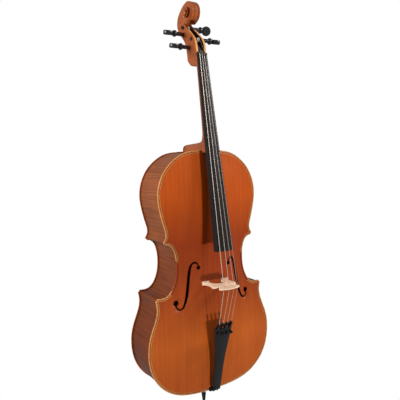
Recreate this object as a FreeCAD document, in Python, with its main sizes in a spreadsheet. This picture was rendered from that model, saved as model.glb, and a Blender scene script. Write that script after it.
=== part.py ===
"""A full-size cello, modelled in millimetres.

Frame: +Z up along the instrument, the front (strings) faces -Y, +X is the player's right as seen
from the front.  The origin is the lower end of the endpin's rubber tip, on the endpin's axis.
Heights called "from the body" are measured from the lower edge of the two plates.
"""
import FreeCAD, Part
import math
import os
import Sketcher

V = FreeCAD.Vector
X_AXIS = V(1, 0, 0)
Y_AXIS = V(0, 1, 0)
Z_AXIS = V(0, 0, 1)
ORIGIN = V(0, 0, 0)
STRINGS = ("c", "g", "d", "a")

doc = FreeCAD.newDocument("Cello")

# ---------------------------------------------------------------- driving dimensions
SIZES = {
    "body_base": 68.0,          # endpin tip up to the plates' lower edge
    "body_length": 745.0,
    "upper_bout": 344.0,
    "waist_width": 233.0,
    "lower_bout": 437.0,
    "rib_height": 118.0,
    "rib_thickness": 1.6,
    "plate_edge": 4.5,          # thickness of both plates
    "plate_overhang": 3.5,      # plate edge outside the ribs
    "arch_rise": 20.5,          # crest above the flat edge
    "purfling_inset": 4.4,
    "purfling_width": 1.4,
    "purfling_depth": 2.0,
    "lining_width": 2.2,
    "lining_height": 14.0,
    "neck_length": 283.0,       # body's top edge to the nut
    "head_base": 288.0,         # body's top edge to the line that the head is drawn from
    "neck_slope": 0.156,        # how far the neck leans back, per unit of height
    "neck_rise": 22.1,          # glue plane in front of the plate edge, at the body's top
    "nut_length": 7.0,
    "nut_width": 33.0,
    "board_length": 579.0,
    "board_width": 63.0,        # at the bridge end
    "board_edge": 6.2,          # side thickness
    "board_radius": 62.0,
    "bridge_seat": 347.5,       # bridge's feet, from the body's lower edge
    "bridge_height": 90.0,
    "bridge_foot": 11.0,        # thickness at the feet
    "bridge_top": 2.8,          # thickness at the strings
    "nut_spread": 22.0,         # outer strings at the nut
    "bridge_spread": 48.0,      # outer strings at the bridge
    "tail_spread": 43.0,        # outer strings at the tuners
    "peg_radius": 6.2,          # shaft, beside the collar
    "peg_end_radius": 5.2,      # shaft, at its far end
    "peg_reach": 84.5,          # centre line of the pegbox to the peg's outer end
    "peg_head": 15.0,           # radius of the thumb piece
    "rod_radius": 5.0,
    "rod_length": 430.0,
    "rod_clearance": 0.08,
    "tip_height": 30.0,
    "tip_radius": 4.5,
    "socket_radius": 12.5,
    "collar_radius": 10.0,
    "collar_height": 17.0,
    "thumb_radius": 2.5,
    "tail_length": 218.0,
    "tail_lean": 12.95,         # degrees
    "pin_radius": 1.25,
    "screw_radius": 1.75,
    "screw_length": 17.0,
    "knob_radius": 4.6,
    "knob_height": 6.0,
    "post_radius": 5.5,
}

sheet = doc.addObject("Spreadsheet::Sheet", "Sizes")
for row, (alias, value) in enumerate(SIZES.items(), start=1):
    sheet.set("A%d" % row, alias.replace("_", " "))
    sheet.set("B%d" % row, str(value))
    sheet.setAlias("B%d" % row, alias)
doc.recompute()


def size(alias):
    """A driving dimension, read from the spreadsheet."""
    return float(sheet.get(alias))


base = size("body_base")
body_top = base + size("body_length")
rib_face = size("rib_height") / 2.0
edge_face = rib_face + size("plate_edge")
nut_z = body_top + size("neck_length")
head_z = body_top + size("head_base")
board_end = nut_z - size("board_length")
bridge_z = base + size("bridge_seat")
bridge_foot_y = -(edge_face + size("arch_rise") - 2.0)
bridge_top_y = bridge_foot_y - size("bridge_height")

made = []


def keep(obj, label):
    """Name a finished sub-part; its label is also its file's name."""
    obj.Label = label
    made.append(obj)
    return obj


def feature(label, shape, placement=None):
    """A sub-part whose shape is computed from the sizes."""
    obj = doc.addObject("Part::Feature", label)
    obj.Shape = shape
    obj.Placement = placement or FreeCAD.Placement()
    return keep(obj, label)


# ---------------------------------------------------------------- sketch-based helpers
def origin_plane(body, role):
    """One of a body's own origin planes."""
    return [part for part in body.Origin.OriginFeatures if part.Role == role][0]


def polygon_sketch(body, role, corners):
    """A closed polygon on an origin plane; each corner is a pair of expressions on the sheet."""
    sketch = body.newObject("Sketcher::SketchObject", body.Name + "_profile")
    sketch.AttachmentSupport = [(origin_plane(body, role), "")]
    sketch.MapMode = "FlatFace"
    points = [V(sheet.evalExpression(u), sheet.evalExpression(v), 0) for u, v in corners]
    count = len(points)
    for index in range(count):
        sketch.addGeometry(Part.LineSegment(points[index], points[(index + 1) % count]), False)
    for index in range(count):
        sketch.addConstraint(sketcher_link(index, (index + 1) % count))
    for index, corner in enumerate(corners):
        for kind, expression, value in (("DistanceX", corner[0], points[index].x),
                                        ("DistanceY", corner[1], points[index].y)):
            number = sketch.addConstraint(sketcher_distance(kind, index, value))
            sketch.setExpression("Constraints[%d]" % number, expression)
    return sketch


def sketcher_link(first, second):
    """End of one line on the start of the next."""
    return Sketcher.Constraint("Coincident", first, 2, second, 1)


def sketcher_distance(kind, index, value):
    """Distance of a line's start point from the sketch's origin."""
    return Sketcher.Constraint(kind, -1, 1, index, 1, value)


def turned(label, profile, placement=None):
    """A turned piece: a profile of (radius, height) expressions revolved about the body's Z axis."""
    body = doc.addObject("PartDesign::Body", label)
    sketch = polygon_sketch(body, "XZ_Plane", profile)
    spin = body.newObject("PartDesign::Revolution", label + "_turning")
    spin.Profile = sketch
    spin.ReferenceAxis = (sketch, ["V_Axis"])
    spin.Angle = 360.0
    body.Placement = placement or FreeCAD.Placement()
    return keep(body, label)


def padded(label, role, outline, length, placement=None):
    """A flat-sided piece: an outline of expressions padded by a length."""
    body = doc.addObject("PartDesign::Body", label)
    sketch = polygon_sketch(body, role, outline)
    pad = body.newObject("PartDesign::Pad", label + "_pad")
    pad.Profile = sketch
    pad.Midplane = True
    pad.setExpression("Length", length)
    body.Placement = placement or FreeCAD.Placement()
    return keep(body, label)


# ---------------------------------------------------------------- curve and solid helpers
def spline(points, start=None, end=None):
    """Smooth curve through the points, with optional end directions."""
    curve = Part.BSplineCurve()
    if start is None:
        curve.interpolate(Points=points)
    else:
        curve.interpolate(Points=points, InitialTangent=start.normalize(),
                          FinalTangent=end.normalize(), Scale=False)
    return curve


def flat(pairs, y=0.0):
    """Points on a plane of constant y from (x, z) pairs."""
    return [V(x, y, z) for x, z in pairs]


def runs_wire(runs):
    """A closed wire from runs of points; two points make a line, more make a smooth curve."""
    edges = []
    for run in runs:
        if len(run) == 2:
            edges.append(Part.LineSegment(run[0], run[1]).toShape())
        else:
            edges.append(spline(run).toShape())
    return Part.Wire(edges)


def mirrored_runs(runs):
    """The runs of a right half followed by their mirror image, back to the start."""
    other = [[V(-point.x, point.y, point.z) for point in reversed(run)] for run in reversed(runs)]
    return runs + other


def prism(wire, direction):
    """The solid that a flat closed wire sweeps."""
    return Part.Face(wire).extrude(direction)


def polygon(points):
    """Closed straight-sided wire."""
    return Part.makePolygon(points + [points[0]])


def rod_between(start, end, radius):
    """Round bar between two points."""
    return Part.makeCylinder(radius, (end - start).Length, start, end - start)


def bent_rod(points, radius):
    """Round bar along straight runs, with a ball at each bend."""
    solid = rod_between(points[0], points[1], radius)
    for index in range(1, len(points) - 1):
        ball = Part.makeSphere(radius * 1.0005, points[index])
        solid = solid.fuse([ball, rod_between(points[index], points[index + 1], radius)])
    return solid


def one_solid(shape):
    """The only solid of a boolean's result, or the largest where slivers were left."""
    return max(shape.Solids, key=lambda solid: solid.Volume)


def solids_over(shape, volume):
    """The separate solids of a result, without slivers under a volume."""
    return Part.makeCompound([solid for solid in shape.Solids if solid.Volume > volume])


# ---------------------------------------------------------------- outline of the body
BODY_UNIT = 745.0


def station(bout, nominal, pairs):
    """Outline points scaled to the bout's width and the body's length."""
    wide = size(bout) / nominal
    high = size("body_length") / BODY_UNIT
    return flat([(x * wide, base + z * high) for x, z in pairs])


def half_outline():
    """The right half of the plates' edge, from the top centre to the bottom centre."""
    upper = station("upper_bout", 344.0, [
        (0, 745), (45, 743), (80, 737.5), (113, 721), (142, 695), (165, 655), (173, 612), (166, 560), (155, 520),
         (151, 500),
        (160, 479)])
    waist = station("waist_width", 233.0, [
        (153, 471.5), (136, 465), (124, 443), (119.5, 410), (122, 375), (132.5, 344), (152, 322),
        (183, 319)])
    lower = station("lower_bout", 437.0, [
        (190, 311), (186.5, 287), (199, 240), (214, 198), (218.5, 162), (211, 106), (182, 54.5), (127, 16.5),
        (64, 2.8), (0, 0)])
    return [
        spline(upper, V(1, 0, 0), V(0.75, 0, -0.8)).toShape(),
        Part.LineSegment(upper[-1], waist[0]).toShape(),
        spline(waist, V(-1, 0, 0.05), V(1, 0, 0.18)).toShape(),
        Part.LineSegment(waist[-1], lower[0]).toShape(),
        spline(lower, V(-0.25, 0, -1), V(-1, 0, 0)).toShape(),
    ]


right_half = half_outline()
left_half = [edge.mirror(ORIGIN, X_AXIS) for edge in right_half]
outline = Part.Wire(Part.__sortEdges__(right_half + left_half))
upper_corner = V(156.5, 0, base + 475.5)
lower_corner = V(186.5, 0, base + 315.0)
UPPER_OUT = V(0.80, 0, -0.60)
LOWER_OUT = V(0.90, 0, 0.43)


SAMPLES = 90
KEPT_POINTS = 22


def inset_points(edge, distance):
    """Points along a curve moved towards the body's inside."""
    first, last = edge.ParameterRange
    points = []
    for index in range(SAMPLES + 1):
        value = first + (last - first) * index / SAMPLES
        along = edge.tangentAt(value)
        points.append(edge.valueAt(value) + V(-along.z, 0, along.x).normalize() * -distance)
    return points


def crossing(line_a, line_b):
    """Where two runs of points cross: the index in each and the point, or None."""
    for i in range(len(line_a) - 1):
        a, da = line_a[i], line_a[i + 1] - line_a[i]
        for j in range(len(line_b) - 1):
            b, db = line_b[j], line_b[j + 1] - line_b[j]
            det = da.x * db.z - da.z * db.x
            if abs(det) < 1e-12:
                continue
            gap = b - a
            part_a = (gap.x * db.z - gap.z * db.x) / det
            part_b = (gap.x * da.z - gap.z * da.x) / det
            if -1e-9 <= part_a <= 1.0 and 0.0 <= part_b <= 1.0 + 1e-9:
                return i, j, a + da * part_a
    return None


def thinned(points):
    """An even choice of the points, with both ends."""
    count = len(points) - 1
    return [points[round(index * count / KEPT_POINTS)] for index in range(KEPT_POINTS + 1)]


def corner_joint(before, end_line, after):
    """Trim two inset bouts and the corner's end line where they meet."""
    direct = crossing(before, after)
    if direct:
        i, j, point = direct
        return before[:i + 1] + [point], None, [point] + after[j + 1:]
    along = (end_line[1] - end_line[0]) * 4.0
    reach = [end_line[0] - along, end_line[1] + along]
    i, _, first = crossing(before, reach)
    _, j, second = crossing(reach, after)
    return before[:i + 1] + [first], [first, second], [second] + after[j + 1:]


def inset_wire(distance):
    """The body's outline pulled in by a distance."""
    upper, end_one, waist, end_two, lower = right_half
    runs = [inset_points(edge, distance) for edge in (upper, waist, lower)]
    ends = []
    for edge in (end_one, end_two):
        first, last = edge.Vertexes[0].Point, edge.Vertexes[1].Point
        along = (last - first).normalize()
        shift = V(-along.z, 0, along.x) * -distance
        ends.append([first + shift, last + shift])
    runs[0], line_one, runs[1] = corner_joint(runs[0], ends[0], runs[1])
    runs[1], line_two, runs[2] = corner_joint(runs[1], ends[1], runs[2])
    edges = []
    for run, line in zip(runs, (line_one, line_two, None)):
        start = run[1] - run[0]
        finish = run[-1] - run[-2]
        if run is runs[0]:
            start = V(1, 0, 0)
        if run is runs[2]:
            finish = V(-1, 0, 0)
        edges.append(spline(thinned(run), start, finish).toShape())
        if line:
            edges.append(Part.LineSegment(line[0], line[1]).toShape())
    edges += [edge.mirror(ORIGIN, X_AXIS) for edge in edges]
    return Part.Wire(Part.__sortEdges__(edges))


def inset_prism(distance, front, back):
    """The body's outline pulled in by a distance, as a solid between two y values."""
    wire = inset_wire(distance) if distance else outline
    solid = Part.Face(wire).extrude(V(0, back - front, 0))
    solid.translate(V(0, front, 0))
    return solid


# ---------------------------------------------------------------- arching
ARCH_INSET = 11.0
GRID_X = 26
GRID_Z = 42


def arch_widths():
    """Half-width of the arched area against height: the bouts joined by one smooth sweep."""
    return [
        (12, 0), (22, 88), (45, 138), (80, 178), (120, 200), (162, 207), (205, 202), (250, 182),
        (295, 150), (340, 122), (385, 108), (425, 107), (465, 117), (510, 137), (560, 154),
        (612, 161), (650, 157), (685, 141), (708, 115), (724, 76), (733, 0)]


WIDTHS = arch_widths()


def arch_width(height):
    """Half-width of the arched area at a height above the body's lower edge."""
    for (z0, w0), (z1, w1) in zip(WIDTHS, WIDTHS[1:]):
        if z0 <= height <= z1:
            part = (height - z0) / (z1 - z0)
            if w0 == 0:
                return w1 * math.sqrt(part)
            if w1 == 0:
                return w0 * math.sqrt(1.0 - part)
            return w0 + (w1 - w0) * part
    return 0.0


def arch(x, height):
    """How far the plate rises above its flat edge."""
    low, high = WIDTHS[0][0], WIDTHS[-1][0]
    if not low < height < high:
        return 0.0
    along = abs(2.0 * (height - low) / (high - low) - 1.0)
    long_arch = (1.0 - along ** 3.2) ** 1.15
    across = abs(x) / max(arch_width(height), 1.0)
    if across >= 1.0:
        return 0.0
    return size("arch_rise") * long_arch * (1.0 - across ** 3.2) ** 2


def smooth_arch(x, height):
    """The arch averaged over a small patch, which keeps the surface fair."""
    reach = 9.0
    total = 0.0
    weight = 0.0
    for i in (-1, 0, 1):
        for j in (-1, 0, 1):
            share = 1.0 / (1 + abs(i) + abs(j))
            total += share * arch(x + i * reach, height + j * reach)
            weight += share
    return total / weight


def arched_face(side):
    """The plate's outer face; side is -1 for the front and +1 for the back."""
    rows = []
    half = size("lower_bout") / 2.0 + 15.0
    for i in range(GRID_X + 1):
        x = -half + 2.0 * half * i / GRID_X
        row = []
        for j in range(GRID_Z + 1):
            height = -15.0 + (size("body_length") + 30.0) * j / GRID_Z
            rise = smooth_arch(x, height * BODY_UNIT / size("body_length"))
            row.append(V(x, side * (edge_face + rise), base + height))
        rows.append(row)
    surface = Part.BSplineSurface()
    surface.interpolate(rows)
    return surface.toShape()


def under(face, side, depth, shift=0.0):
    """The space on the inner side of an arched face."""
    solid = face.extrude(V(0, -side * depth, 0))
    solid.translate(V(0, -side * shift, 0))
    return solid


front_face = arched_face(-1)
back_face = arched_face(1)
front_space = under(front_face, -1, 110.0)
back_space = under(back_face, 1, 110.0)
front_inside = under(front_face, -1, 110.0, size("plate_edge"))
back_inside = under(back_face, 1, 110.0, size("plate_edge"))


# ---------------------------------------------------------------- f-holes
F_LINE = [(54, 401, 2.0), (58, 409, 2.2), (66, 411.5, 2.8), (74, 405, 3.7), (80, 388, 4.4),
          (86, 352, 4.9), (93, 315, 4.7), (101, 291, 3.8), (110, 279, 2.9), (119, 277.5, 2.4),
          (126, 285, 2.2), (128, 291, 2.2)]
F_EYES = [(53.5, 396.0, 6.4), (126.5, 297.0, 8.2)]


def f_hole(side):
    """Cutter for one f-hole: two eyes and a tapering stem."""
    left = []
    right = []
    for index, (x, z, half) in enumerate(F_LINE):
        before = F_LINE[max(index - 1, 0)]
        after = F_LINE[min(index + 1, len(F_LINE) - 1)]
        along = V(after[0] - before[0], 0, after[1] - before[1]).normalize()
        across = V(along.z, 0, -along.x) * half
        centre = V(x, 0, base + z)
        left.append(centre - across)
        right.append(centre + across)
    runs = [left, [left[-1], right[-1]], list(reversed(right)), [right[0], left[0]]]
    front = -(edge_face + size("arch_rise") + 5.0)
    depth = size("arch_rise") + 15.0
    stem = prism(runs_wire(runs), V(0, depth, 0))
    stem.translate(V(0, front, 0))
    cutters = [stem]
    for x, z, radius in F_EYES:
        cutters.append(Part.makeCylinder(radius, depth, V(x, front, base + z), Y_AXIS))
    if side < 0:
        cutters = [cutter.mirror(ORIGIN, X_AXIS) for cutter in cutters]
    return cutters


# ---------------------------------------------------------------- neck root in the body
HEEL_TOP = 23.0          # heel above the body's top edge
MORTISE = 8.0            # heel let into the upper block
HEEL_FRONT = 22.5        # half width at the front plate
HEEL_BACK = 13.5         # half width at the button


def heel_seat(clear):
    """The tapering slot that the neck's root fills, through the front plate to the back plate."""
    front = -edge_face - 30.0
    run = edge_face + rib_face + 30.0
    slope = (HEEL_FRONT - HEEL_BACK) / (edge_face + rib_face)
    wide = HEEL_FRONT + slope * 30.0 + clear
    narrow = HEEL_BACK + clear
    corners = [V(-wide, front, 0), V(wide, front, 0), V(narrow, front + run, 0), V(-narrow, front + run, 0)]
    solid = prism(polygon(corners), V(0, 0, 60.0))
    solid.translate(V(0, 0, body_top - MORTISE - clear))
    return solid


def saddle_blank(clear):
    """The saddle's seat in the lower edge of the front plate."""
    wide = 2.0 * (19.0 + clear)
    return Part.makeBox(wide, 30.0, 20.0 + clear, V(-wide / 2.0, -edge_face - 20.0, base - 10.0))


# ---------------------------------------------------------------- plates, purfling, ribs, blocks
def plate_solid(side):
    """One arched plate, before any holes."""
    if side < 0:
        blank = inset_prism(0.0, -edge_face - 40.0, -rib_face + 5.0)
        space, inside = front_space, front_inside
    else:
        blank = inset_prism(0.0, rib_face - 5.0, edge_face + 40.0)
        space, inside = back_space, back_inside
    return one_solid(blank.common(space).cut(inside))


def purfling_ring(side, gap=0.0):
    """The flat inlaid line near the plate's edge, or its channel with a gap all round."""
    depth = size("purfling_depth") + gap
    proud = 1.0 if gap else 0.0
    front = -edge_face - proud if side < 0 else edge_face - depth
    back = front + depth + proud
    outer = inset_prism(size("purfling_inset") - gap, front, back)
    inside = size("purfling_inset") + size("purfling_width") + gap
    inner = inset_prism(inside, front - 1.0, back + 1.0)
    return outer.cut(inner)


PURFLING_GAP = 0.02       # glue line round the purfling


def build_body():
    """Plates, purfling, ribs, blocks, linings, bass bar and soundpost."""
    seat = heel_seat(0.03)
    saddle_seat = saddle_blank(0.02)
    purfling_front = solids_over(purfling_ring(-1).cut([seat, saddle_seat]), 10.0)
    purfling_rear = purfling_ring(1)
    top = one_solid(plate_solid(-1).cut(seat).cut(saddle_seat))
    top = top.cut(purfling_ring(-1, PURFLING_GAP)).cut(f_hole(1) + f_hole(-1))
    feature("top_plate", one_solid(top))
    button = Part.makeCylinder(HEEL_BACK + 1.0, size("plate_edge"), V(0, rib_face, body_top + 6.0), Y_AXIS)
    stem = Part.makeBox(2 * HEEL_BACK + 2.0, size("plate_edge"), 12.0,
                        V(-HEEL_BACK - 1.0, rib_face, body_top - 6.0))
    channel = purfling_ring(1, PURFLING_GAP)
    back = one_solid(plate_solid(1).cut(channel))
    back = back.fuse(stem.cut(channel)).fuse(button.cut(channel))
    feature("back_plate", one_solid(back))
    feature("purfling_top", purfling_front)
    feature("purfling_back", one_solid(purfling_rear))

    hang = size("plate_overhang")
    skin = size("rib_thickness")
    ring = inset_prism(hang, -rib_face, rib_face).cut(inset_prism(hang + skin, -rib_face - 1, rib_face + 1))
    ring = ring.cut(seat)
    socket_hole = Part.makeCylinder(size("socket_radius") + 0.02, 60.0, V(0, 0, base - 10.0))
    ring = ring.cut(socket_hole)
    for side, name in ((-1, "bass"), (1, "treble")):
        for region, zone in rib_zones(side):
            feature("rib_%s_%s" % (region, name), one_solid(ring.common(zone)))

    cavity = inset_prism(hang + skin + 0.02, -rib_face, rib_face)
    upper = Part.makeBox(116, 2 * rib_face, 36, V(-58, -rib_face, body_top - 42)).common(cavity).cut(seat)
    lower = Part.makeBox(100, 2 * rib_face, 36, V(-50, -rib_face, base - 2)).common(cavity).cut(socket_hole)
    feature("upper_block", one_solid(upper))
    feature("lower_block", one_solid(lower))
    corners = []
    for tip, out in ((upper_corner, UPPER_OUT), (lower_corner, LOWER_OUT)):
        for side in (1, -1):
            corners.append(one_solid(corner_zone(tip, out, side).common(cavity)))
    feature("corner_blocks", Part.makeCompound(corners))

    for name, front in (("top", -rib_face), ("back", rib_face - size("lining_height"))):
        band = inset_prism(hang + skin + 0.02, front, front + size("lining_height"))
        past = front + size("lining_height") + 1.0
        inner = inset_prism(hang + skin + size("lining_width"), front - 1.0, past)
        strip = band.cut(inner).cut([upper, lower, seat] + corners)
        feature("linings_" + name, solids_over(strip, 100.0))

    feature("bass_bar", bass_bar_solid())
    feature("soundpost", soundpost_solid())


def side_point(side, point):
    """Mirror a right-hand point for the left side."""
    return V(side * point.x, point.y, point.z)


def rib_zones(side):
    """Three regions of the plan that divide the ribs at the corners."""
    front = V(0, -rib_face - 5.0, 0)
    depth = V(0, 2 * rib_face + 10.0, 0)
    up_out = upper_corner + UPPER_OUT * 120.0
    up_in = upper_corner - UPPER_OUT * 55.0
    low_out = lower_corner + LOWER_OUT * 120.0
    low_in = lower_corner - LOWER_OUT * 55.0
    far = 320.0
    zones = {
        "upper": [V(0, 0, body_top + 50), V(far, 0, body_top + 50), V(far, 0, up_out.z), up_out, up_in,
                  V(0, 0, up_in.z)],
        "waist": [V(0, 0, up_in.z), up_in, up_out, V(far, 0, up_out.z), V(far, 0, low_out.z), low_out,
                  low_in, V(0, 0, low_in.z)],
        "lower": [V(0, 0, low_in.z), low_in, low_out, V(far, 0, low_out.z), V(far, 0, base - 50),
                  V(0, 0, base - 50)],
    }
    result = []
    for region, corners in zones.items():
        wire = polygon([side_point(side, corner) + front for corner in corners])
        result.append((region, prism(wire, depth)))
    return result


def corner_zone(tip, out, side):
    """The box around one corner that its block fills."""
    across = V(-out.z, 0, out.x)
    corners = [tip + out * 30 + across * 32, tip + out * 30 - across * 32,
               tip - out * 27 - across * 32, tip - out * 27 + across * 32]
    wire = polygon([side_point(side, corner) + V(0, -rib_face, 0) for corner in corners])
    return prism(wire, V(0, 2 * rib_face, 0))


def bass_bar_solid():
    """The bar glued along the front plate's inside, under the bridge's bass foot."""
    bottom = base + 95.0
    top = body_top - 95.0
    middle = (bottom + top) / 2.0
    crest = -(rib_face + size("arch_rise")) + 27.0
    ends = -(rib_face + size("arch_rise")) + 12.0
    face = runs_wire([
        [V(-35, crest, middle) + V(0, ends - crest, bottom - middle),
         V(-35, (crest * 3 + ends) / 4, (bottom * 1 + middle) / 2),
         V(-35, crest, middle),
         V(-35, (crest * 3 + ends) / 4, (top * 1 + middle) / 2),
         V(-35, ends, top)],
        [V(-35, ends, top), V(-35, -edge_face - 40, top)],
        [V(-35, -edge_face - 40, top), V(-35, -edge_face - 40, bottom)],
        [V(-35, -edge_face - 40, bottom), V(-35, ends, bottom)]])
    blank = prism(face, V(10.0, 0, 0))
    return one_solid(blank.common(under(front_face, -1, 110.0, size("plate_edge") + 0.02)))


def soundpost_solid():
    """The loose post between the plates, just below the bridge's treble foot."""
    radius = size("post_radius")
    place = V(28.0, 0, bridge_z - 13.0)
    tall = edge_face + size("arch_rise")
    front = Part.makeCylinder(radius, tall, place - V(0, tall, 0), Y_AXIS)
    back = Part.makeCylinder(radius, tall, place, Y_AXIS)
    gap = size("plate_edge") + 0.02
    front = front.common(under(front_face, -1, 110.0, gap))
    back = back.common(under(back_face, 1, 110.0, gap))
    return one_solid(front.fuse(back).removeSplitter())


# ---------------------------------------------------------------- neck and head
def glue_y(z):
    """Front face of the neck, where the fingerboard is glued, at a height z."""
    return -(edge_face + size("neck_rise")) + size("neck_slope") * (z - body_top)


def board_half(z):
    """Half width of the fingerboard, and of the neck under it."""
    part = (nut_z - z) / size("board_length")
    return size("nut_width") / 2.0 + part * (size("board_width") - size("nut_width")) / 2.0


def neck_section(front, back, half):
    """A D-shaped section: flat along the front point, round at the back point."""
    inward = back - front
    points = []
    for index in range(9):
        angle = math.pi * index / 8.0
        across = math.cos(angle)
        deep = math.sin(angle) ** 0.8
        points.append(front + X_AXIS * (half * across) + inward * deep)
    return Part.Wire([spline(points).toShape(), Part.LineSegment(points[-1], points[0]).toShape()])


def neck_shaft():
    """The hand's part of the neck and the heel, as a row of sections that turns into the body."""
    overlap = 4.0
    bottom = body_top - MORTISE - overlap
    sections = []
    for z, depth in ((nut_z + 2.0, 18.5), (nut_z - 60, 18.7), (nut_z - 130, 19.5), (body_top + 90, 20.5),
                     (body_top + 60, 22.0)):
        sections.append((V(0, glue_y(z) - overlap, z), V(0, glue_y(z) + depth, z), board_half(z)))
    sections += [
        (V(0, glue_y(body_top + 38) - overlap, body_top + 38), V(0, -51.0, body_top + 46), 21.3),
        (V(0, glue_y(body_top + 14) - overlap, body_top + 14), V(0, -46.5, body_top + 36), 22.0),
        (V(0, glue_y(body_top) - overlap, bottom), V(0, -37.0, body_top + 27.5), 22.6),
        (V(0, -60, bottom), V(0, -22, body_top + HEEL_TOP + 1.5), 20.8),
        (V(0, -30, bottom), V(0, -4, body_top + HEEL_TOP), 19.3),
        (V(0, 20, bottom), V(0, 24, body_top + HEEL_TOP - 0.7), 16.5),
        (V(0, rib_face + 1, bottom), V(0, rib_face + 1, body_top + HEEL_TOP - 2), HEEL_BACK + 0.4)]
    wires = [neck_section(*section) for section in sections]
    shaft = Part.makeLoft(wires, True, True)
    behind = V(0, glue_y(body_top - 200), body_top - 200)
    above = V(0, glue_y(nut_z + 60), nut_z + 60)
    front_cut = prism(polygon([behind, above, above - V(0, 90, 0), behind - V(0, 90, 0)]), V(160, 0, 0))
    front_cut.translate(V(-80, 0, 0))
    below_cut = Part.makeBox(160, 300, 60, V(-80, -150, body_top - MORTISE - 60))
    rear_cut = Part.makeBox(160, 60, 300, V(-80, rib_face, body_top - 100))
    shaft = shaft.cut([front_cut, below_cut, rear_cut])
    slot = heel_seat(0.0)
    inside = Part.makeBox(160, 300, 60, V(-80, -150, body_top - 60))
    return one_solid(shaft.cut(inside.cut(slot)))


EYE = V(0, 13.0, 0)
EYE_HEIGHT = 132.0        # scroll's eye above the head's base line
SCROLL_RADIUS = 36.5
SCROLL_TURN = 0.83        # radius left after each quarter turn


def scroll_radius(angle):
    """Radius of the volute's outer line; the angle runs from the top over the front."""
    return SCROLL_RADIUS * SCROLL_TURN ** (angle / 90.0)


def scroll_point(angle):
    """A point on the volute's outer line."""
    turn = math.radians(angle)
    radius = scroll_radius(angle)
    return V(0, EYE.y - radius * math.sin(turn), head_z + EYE_HEIGHT + radius * math.cos(turn))


def head_profile():
    """Side view of the pegbox and the volute's outside."""
    lift = head_z
    crown = [scroll_point(angle) for angle in (190, 160, 130, 100, 70, 40, 15, 0)]
    back = [crown[-1]] + [V(0, y, lift + z) for y, z in (
        (34, 165), (58, 151), (75, 131), (77.5, 111), (70, 91), (50, 70), (33, 54), (20, 34), (14.5, 14),
        (13, -12))]
    chin = [back[-1]] + [V(0, y, lift + z) for y, z in ((4, -22), (-8, -31), (-20, -34))]
    root = V(0, glue_y(lift - 34), lift - 34)
    nut_low = V(0, glue_y(nut_z), nut_z)
    nut_high = V(0, glue_y(nut_z + size("nut_length")), nut_z + size("nut_length"))
    lip = V(0, -42.5, nut_z + size("nut_length") + 0.3)
    front = [lip] + [V(0, y, lift + z) for y, z in ((-40, 20), (-30.5, 45), (-14, 62), (7, 81), (28, 99))]
    throat = [front[-1], V(0, 32, lift + 106), V(0, 26, lift + 108), crown[0]]
    return [crown, back, chin, [chin[-1], root], [root, nut_low], [nut_low, nut_high], [nut_high, lip],
            front, throat]


HEAD_WIDTHS = [(-40, 16.3), (0, 17.2), (20, 18.0), (62, 16.0), (107, 14.0), (133, 13.0), (175, 12.0)]


def head_taper():
    """Front view of the head: its sides lean in towards the scroll."""
    right = [V(half, 0, head_z + z) for z, half in HEAD_WIDTHS]
    left = [V(-half, 0, head_z + z) for z, half in reversed(HEAD_WIDTHS)]
    solid = prism(runs_wire([right, [right[-1], left[0]], left, [left[-1], right[0]]]), V(0, 260, 0))
    solid.translate(V(0, -120, 0))
    return solid


def pegbox_cavity():
    """The slot between the pegbox walls, open at the front."""
    low = V(0, -60, nut_z + size("nut_length") - 1.0)
    sill = V(0, -36, low.z)
    side = [V(0, y, head_z + z) for y, z in (
        (2, 10), (9.5, 24), (18.5, 42.5), (35.6, 61), (52.6, 79), (56, 92), (49, 102))]
    front = [side[-1], V(0, 12, head_z + 118.5)]
    wire = runs_wire([[low, sill], [sill, side[0]], side, front, [front[-1], V(0, -60, head_z + 60)],
                      [V(0, -60, head_z + 60), low]])
    depth = prism(wire, V(60, 0, 0))
    depth.translate(V(-30, 0, 0))
    halves = [(-2, 10.8), (30, 11.2), (62, 9.6), (100, 7.8), (125, 7.2)]
    right = [V(half, 0, head_z + z) for z, half in halves]
    left = [V(-half, 0, head_z + z) for z, half in reversed(halves)]
    width = prism(runs_wire([right, [right[-1], left[0]], left, [left[-1], right[0]]]), V(0, 200, 0))
    width.translate(V(0, -110, 0))
    return depth.common(width)


PEGS = {
    # string: (side of the head, y of the axis, height in the head, x of the winding)
    "c": (-1, 0.0, 25.5, -5.2),
    "a": (1, -14.5, 48.0, 4.6),
    "g": (-1, 36.0, 73.5, -3.4),
    "d": (1, 37.8, 95.0, 2.0),
}
PEG_CLEARANCE = 0.06
PEG_START = -20.5         # inner end of a peg, from the pegbox's middle
PEG_TAPER = 60.5          # length of the shaft's taper


def peg_frame(name):
    """Placement of a peg: its local Z axis runs outwards from the pegbox's middle."""
    side, y, height, _ = PEGS[name]
    turn = FreeCAD.Rotation(Y_AXIS, 90.0 * side)
    roll = {"c": 104.0, "g": 104.0, "a": 104.0, "d": 18.0}[name]
    turn = FreeCAD.Rotation(X_AXIS, roll) * turn
    return FreeCAD.Placement(V(0, y, head_z + height), turn)


def peg_hole(name):
    """Tapered hole through both pegbox walls, with running clearance."""
    side, y, height, _ = PEGS[name]
    inner = size("peg_end_radius") + PEG_CLEARANCE
    outer = size("peg_radius") + PEG_CLEARANCE
    start = V(-side * 24.0, y, head_z + height)
    return Part.makeCone(inner, outer, 24.0 + 40.0, start, X_AXIS * side)


def volute_steps():
    """The turns of the scroll, which stand out further towards the eye."""
    centre = V(0, EYE.y, head_z + EYE_HEIGHT)
    steps = []
    for side in (1, -1):
        out = X_AXIS * side
        steps.append(Part.makeCone(27.0, 20.5, 11.0, centre + V(0, 2.0, -1.0) + out * 11.0, out))
        steps.append(Part.makeCone(17.5, 12.5, 7.0, centre + V(0, 1.0, 0) + out * 20.0, out))
        steps.append(Part.makeCone(9.5, 8.0, 5.0, centre + out * 25.0, out))
    return steps


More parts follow.
